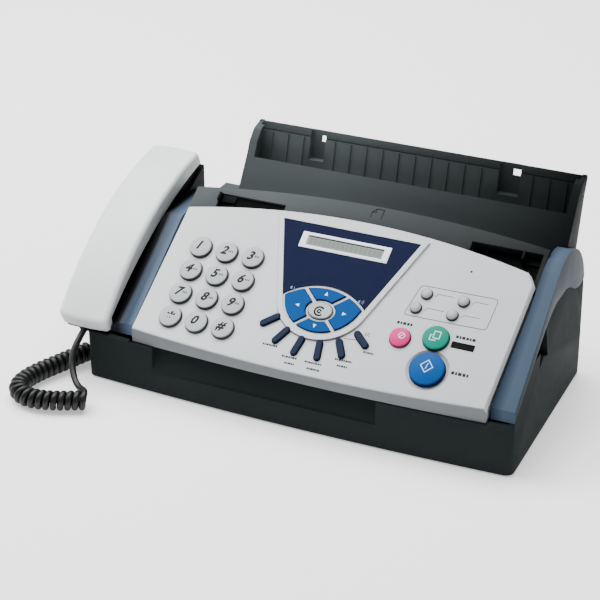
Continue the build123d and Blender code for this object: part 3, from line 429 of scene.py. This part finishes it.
def arc(centre, radius, start, end, steps=16):
    """Points of a circular arc between two angles in degrees."""
    return [
        (centre[0] + radius * math.cos(math.radians(start + (end - start) * i / steps)),
         centre[1] + radius * math.sin(math.radians(start + (end - start) * i / steps)))
        for i in range(steps + 1)
    ]


def patch(x, d, wide, deep):
    """Rectangle centred on a place, as one face."""
    return [(x - wide / 2, d - deep / 2), (x + wide / 2, d - deep / 2),
            (x + wide / 2, d + deep / 2), (x - wide / 2, d + deep / 2)]


def ring(centre, radius, width):
    """Faces of a printed circle."""
    return stroke(arc(centre, radius, 0, 360 - 360 / 24, 23), width, closed=True)


def lettering(text, size, place, slant, weight):
    """Faces of generic lettering such as a key's number, centred on a place."""
    data = bpy.data.curves.new("letters", "FONT")
    data.body = text
    data.size = size
    data.shear = slant
    data.offset = weight
    data.align_x = "CENTER"
    data.align_y = "CENTER"
    data.resolution_u = 3
    letters = bpy.data.objects.new("letters", data)
    bpy.context.scene.collection.objects.link(letters)
    depsgraph = bpy.context.evaluated_depsgraph_get()
    mesh = bpy.data.meshes.new_from_object(letters.evaluated_get(depsgraph))
    corners = [vertex.co.xy + Vector(place) for vertex in mesh.vertices]
    faces = [[corners[index] for index in polygon.vertices] for polygon in mesh.polygons]
    bpy.data.meshes.remove(mesh)
    bpy.data.objects.remove(letters)
    return faces


def printed(name, faces, top, ink, body, spot=on_panel):
    """Thin mark lying on a surface, from faces in its two coordinates.

    `top` gives the surface's height there and `spot` turns the three into a point.
    """
    outward = (Vector(spot(0, 0, 1)) - Vector(spot(0, 0, 0))).normalized()
    shape = bmesh.new()
    for face in faces:
        shape.faces.new([shape.verts.new((x, d, 0)) for x, d in face])
    bmesh.ops.remove_doubles(shape, verts=shape.verts, dist=1e-4)
    if top is not flat:
        bmesh.ops.triangulate(shape, faces=shape.faces)
        for _ in range(6):
            long_edges = [edge for edge in shape.edges if edge.calc_length() > LONGEST]
            if not long_edges:
                break
            bmesh.ops.subdivide_edges(shape, edges=long_edges, cuts=1)
            bmesh.ops.triangulate(shape, faces=shape.faces)
    for vertex in shape.verts:
        x, d, _ = vertex.co
        vertex.co = spot(x, d, top(x, d) + LIFT)
    bmesh.ops.recalc_face_normals(shape, faces=shape.faces)
    for face in shape.faces:
        if face.normal.dot(outward) < 0:
            face.normal_flip()
    mesh = bpy.data.meshes.new(name)
    shape.to_mesh(mesh)
    shape.free()
    mark = bpy.data.objects.new(name, mesh)
    bpy.context.scene.collection.objects.link(mark)
    mesh.materials.append(ink)
    thickness = mark.modifiers.new("thickness", "SOLIDIFY")
    thickness.thickness = INK * MM
    thickness.offset = 1.0
    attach(mark, body)


key_ink = shade("key_ink", linear(34, 38, 42), 0.6, grain=0.0, gloss=0.1)
grey_ink = shade("grey_ink", linear(58, 62, 66), 0.6, grain=0.0, gloss=0.2)
dark_ink_and_shadow = shade("dark_ink_and_shadow", linear(9, 10, 12), 0.6, grain=0.0, gloss=0.05)
white_ink = shade("white_ink", linear(225, 238, 245), 0.5, grain=0.0)
pale_ink = shade("pale_ink", linear(150, 205, 240), 0.5, grain=0.0)
dim_ink = shade("dim_ink", linear(86, 112, 160), 0.5, grain=0.0)

# figures of the number keys, with ticks where a key also carries letters
NUMBER_COLUMNS = (-105.0, -82.9, -60.8)
NUMBER_ROWS = (78.7, 57.8, 36.9, 16.0)
NUMBERS = ("1", "2", "3", "4", "5", "6", "7", "8", "9", "star", "0", "hash")
SIGNS = {"star": "*", "hash": "#"}
for index, number in enumerate(NUMBERS):
    x, d = NUMBER_COLUMNS[index % 3], NUMBER_ROWS[index // 3]
    sign = SIGNS.get(number, number)
    size, rise = (15.0, -3.0) if sign == "*" else (10.0, 0.4)
    faces = lettering(sign, size, (x - 1.8, d + rise), slant=0.3, weight=0.38)
    if number in "23456789":
        faces += [patch(x + 2.6 + 1.35 * step, d + 0.4, 0.75, 1.5) for step in range(3)]
    top = dome((x, d), radius=8.9, height=3.0, rim=1.2, crown=7)
    printed(f"sign_{number}", faces, top, key_ink, f"key_{number}_body")

# display pane with its row of blank cells
LCD_X, LCD_D = 6.3, 103.2
PANE_LEVEL = 1.12
CELL_LEVEL = PANE_LEVEL + 0.08
CELL_PITCH = 3.7

pane_look = shade("lcd_pane", linear(118, 128, 124), 0.3, grain=0.0, gloss=0.15)
cell_look = shade("lcd_cell", linear(104, 113, 108), 0.35, grain=0.0, gloss=0.15)
printed("lcd_pane", [patch(LCD_X, LCD_D, 61.6, 8.2)], level(PANE_LEVEL), pane_look, "top_cover")
cells = [patch(LCD_X + CELL_PITCH * (column - 7.5), LCD_D, 3.0, 5.4) for column in range(16)]
printed("lcd_cells", cells, level(CELL_LEVEL), cell_look, "top_cover")
# painted shadow: a dark strip along the pane's upper edge, under the bezel
printed("lcd_shadow", [patch(LCD_X, LCD_D + 3.8, 61.6, 0.8)], level(CELL_LEVEL), dark_ink_and_shadow,
        "top_cover")

# frame and write-in lines of the one-touch keys
frame_corners = [(73.9, 85.5), (133.0, 86.4), (131.5, 60.2), (68.6, 59.1)]


def rounded(corners, radius, steps=4):
    """Outline with each corner cut by a small arc."""
    outline = []
    count = len(corners)
    for index, corner in enumerate(corners):
        here = Vector(corner)
        before = here.lerp(Vector(corners[index - 1]),
                           radius / (here - Vector(corners[index - 1])).length)
        after_corner = Vector(corners[(index + 1) % count])
        after = here.lerp(after_corner, radius / (here - after_corner).length)
        for step in range(steps + 1):
            share = step / steps
            outline.append(tuple(before.lerp(here, share).lerp(here.lerp(after, share), share)))
    return outline


lines = stroke(rounded(frame_corners, 3.0), 0.5, closed=True)
for x, d, run in ((80.2, 78.9, 20), (75.9, 66.0, 21), (108.7, 78.8, 18), (104.0, 66.2, 20)):
    lines += stroke([(x + 6.5, d - 0.5), (x + 8.5, d + 2.0), (x + run, d + 2.0)], 0.4)
printed("touch_frame", lines, flat, grey_ink, "top_cover")

# painted shade: near-black sheets on the floors of the two recesses the document guides slide in
RECESS_D, RECESS_WIDTH = 122.0, 17.6
recess_shade_look = shade("recess", linear(4, 5, 6), 0.7, grain=0.1, gloss=0.03)
for name, start, end, depth in (("left", -109.6, -54.4, 4.0), ("right", 98.4, 152.6, 10.0)):
    recess_shade_patch = [patch((start + end) / 2, RECESS_D, end - start, RECESS_WIDTH)]
    printed(f"recess_{name}", recess_shade_patch, level(-depth), recess_shade_look, "top_cover")

# blank label beside the copy key, and the rule between two of the function keys
label_corners = [(110.6, 41.0), (128.0, 41.0), (128.0, 46.4), (110.6, 46.4)]
printed("copy_label", [rounded(label_corners, 0.6)], flat, dark_ink_and_shadow, "top_cover")
rule = stroke([(32.3, 29.8), (45.6, 31.2)], 0.5) + stroke([(47.2, 35.4), (46.6, 38.6)], 0.6)
rule += stroke(arc((49.6, 37.0), 1.2, 60, 300, 8), 0.5)
printed("receive_rule", rule, flat, grey_ink, "top_cover")


def blank_word(x, d, run, tall):
    """Row of plain bars that stands where the panel has a word, centred on a place."""
    bars = []
    reach = x - run / 2
    for step in range(40):
        wide = tall * (0.9, 0.6, 1.1)[step % 3]
        if reach + wide > x + run / 2:
            break
        bars.append(patch(reach + wide / 2, d, wide, tall))
        reach += wide + tall * 0.3
    return bars


# places of the words, with the length and height of each in mm
blank_words = [
    (-20.3, 11.7, 12, 1.5), (-2.3, 5.5, 12, 1.5), (0.0, 0.6, 9, 1.5), (17.1, 5.1, 14, 1.5),
    (19.0, 0.2, 11, 1.5), (38.4, 12.4, 14, 1.5), (39.8, 7.7, 10, 1.5), (54.0, 22.6, 8, 1.5),
    (72.7, 52.0, 13, 2.2), (119.6, 50.4, 15, 2.2), (125.3, 21.9, 15, 2.4),
]
bars = [bar for word in blank_words for bar in blank_word(*word)]
printed("blank_words", bars, flat, key_ink, "top_cover")

# icons of the stop, copy and start keys
stop_top = dome((72.7, 39.7), radius=8.0, height=2.4, rim=1.4, crown=14)
icon = ring((74.2, 40.6), 2.3, 0.45) + stroke([(73.0, 39.2), (75.4, 42.0)], 0.45)
printed("stop_icon", icon, stop_top, white_ink, "stop_button_body")
copy_top = dome((98.6, 45.2), radius=9.9, height=2.8, rim=1.4, crown=14)
icon = stroke([(97.2, 49.5), (97.2, 43.8), (101.8, 43.8), (101.8, 49.5)], 0.55, closed=True)
icon += stroke([(96.2, 46.0), (94.8, 46.0), (94.8, 42.0), (99.2, 42.0), (99.2, 43.0)], 0.55)
printed("copy_icon", icon, copy_top, white_ink, "copy_button_body")
start_top = dome((100.4, 19.7), radius=13.2, height=3.2, rim=1.4, crown=14)
icon = stroke([(100.4, 25.6), (105.0, 20.6), (100.4, 15.6), (95.8, 20.6)], 0.7, closed=True)
icon += stroke([(100.0, 18.2), (100.8, 23.0)], 0.6)
printed("start_icon", icon, start_top, pale_ink, "start_button_body")

# marks of the navigation keys and of the volume
ARROW = [Vector((1.5, 0)), Vector((-1.5, 1.3)), Vector((-1.5, -1.3))]
for name, x, d, turn in (
    ("right", 26.2, 48.0, 0), ("up", 7.3, 61.4, 90), ("left", -11.5, 47.6, 180),
    ("down", 7.6, 33.4, 270),
):
    spin = Matrix.Rotation(math.radians(turn), 2)
    corners = [Vector((x, d)) + spin @ corner for corner in ARROW]
    printed(f"arrow_{name}", [corners], level(2.2), white_ink, f"nav_{name}_body")
icon = stroke(arc((7.0, 46.0), 3.6, 40, 320, 14), 1.3)
icon += stroke(arc((7.0, 46.0), 1.3, 0, 330, 11), 1.1)
printed("set_icon", icon, level(2.4), dark_ink_and_shadow, "nav_center_body")
for name, x, d in (("low", -20.8, 61.0), ("high", 34.0, 61.0)):
    icon = [[(x - 1.6, d - 0.6), (x - 1.6, d + 0.6), (x - 0.2, d + 1.5), (x - 0.2, d - 1.5)]]
    waves = (1.6,) if name == "low" else (1.6, 2.8)
    for wave in waves:
        icon += stroke(arc((x, d), wave, -40, 40, 6), 0.35)
    printed(f"volume_{name}", icon, level(1.32), dim_ink, "top_cover")

# sheet mark on the deck, its sunk lines drawn in painted shade
sunk_line_shade = shade("sunk_mark", linear(6, 7, 8), 0.7, grain=0.0, gloss=0.03)
icon = stroke([(15.2, 134.6), (15.0, 139.4), (18.0, 142.8), (24.0, 142.8), (23.6, 134.6)], 0.5)
icon += stroke([(15.0, 139.4), (18.2, 139.5), (18.0, 142.8)], 0.4)
printed("deck_mark", icon, level(-2.0), sunk_line_shade, "top_cover")

# blank rating plate and screws of the rear wall
REAR_WALL = 166.0         # from the base's front to its rear wall, in mm
SCREW_PLACES = ((-152, 66), (-152, 22), (155, 66), (155, 22))


def on_rear(x, z, n):
    """Point on the base's rear wall: across, up and off it, in mm, as metres."""
    return at(x, REAR_WALL + n, z)


plate_look = shade("rating_plate", linear(118, 121, 124), 0.5, grain=0.05, gloss=0.3)
plate = rounded([(-40, 34), (22, 34), (22, 62), (-40, 62)], 2.0)
printed("rating_plate", [plate], flat, plate_look, "base", on_rear)
screw_faces = [arc(place, 3.2, 0, 345, 23) for place in SCREW_PLACES]
printed("rear_screws", screw_faces, flat, looks["steel_sheet"], "base", on_rear)
# painted shade: the dark cross on each screw stands for its slot
slot_faces = []
for x, z in SCREW_PLACES:
    slot_faces += [patch(x, z, 3.6, 0.7), patch(x, z, 0.7, 3.6)]
printed("screw_slots", slot_faces, level(0.1), sunk_line_shade, "base", on_rear)


# ---------------------------------------------------------------- studio
def stage_light(name, place, aim, size, power):
    """Large soft light, aimed at a point."""
    data = bpy.data.lights.new(name, "AREA")
    data.shape = "RECTANGLE"
    data.size, data.size_y = size
    data.energy = power
    light = bpy.data.objects.new(name, data)
    bpy.context.scene.collection.objects.link(light)
    light.location = place
    light.rotation_euler = (Vector(aim) - Vector(place)).to_track_quat("-Z", "Y").to_euler()


stage_light("top", (-0.5, 0.5, 2.2), (0, 0, 0), (2.4, 2.0), 138)
stage_light("key", (-1.7, -0.3, 1.5), (0, 0, 0.05), (1.2, 1.2), 34)
stage_light("fill", (1.7, -0.5, 0.8), (0, 0, 0.06), (0.9, 0.8), 4)

world = bpy.data.worlds.new("studio")
world.use_nodes = True
world.node_tree.nodes["Background"].inputs["Color"].default_value = (1.0, 1.0, 1.0, 1)
world.node_tree.nodes["Background"].inputs["Strength"].default_value = 0.3
bpy.context.scene.world = world

REACH = 6.0               # from the middle of the floor to its sides, in metres
floor_data = bpy.data.meshes.new("floor")
floor_data.from_pydata(
    [(-REACH, -REACH, 0), (REACH, -REACH, 0), (REACH, REACH, 0), (-REACH, REACH, 0)], [],
    [(0, 1, 2, 3)],
)
floor = bpy.data.objects.new("floor", floor_data)
bpy.context.scene.collection.objects.link(floor)
floor_data.materials.append(shade("paper", (0.9, 0.9, 0.9), 0.9, grain=0.0, drift=0.0, glow=0.5))
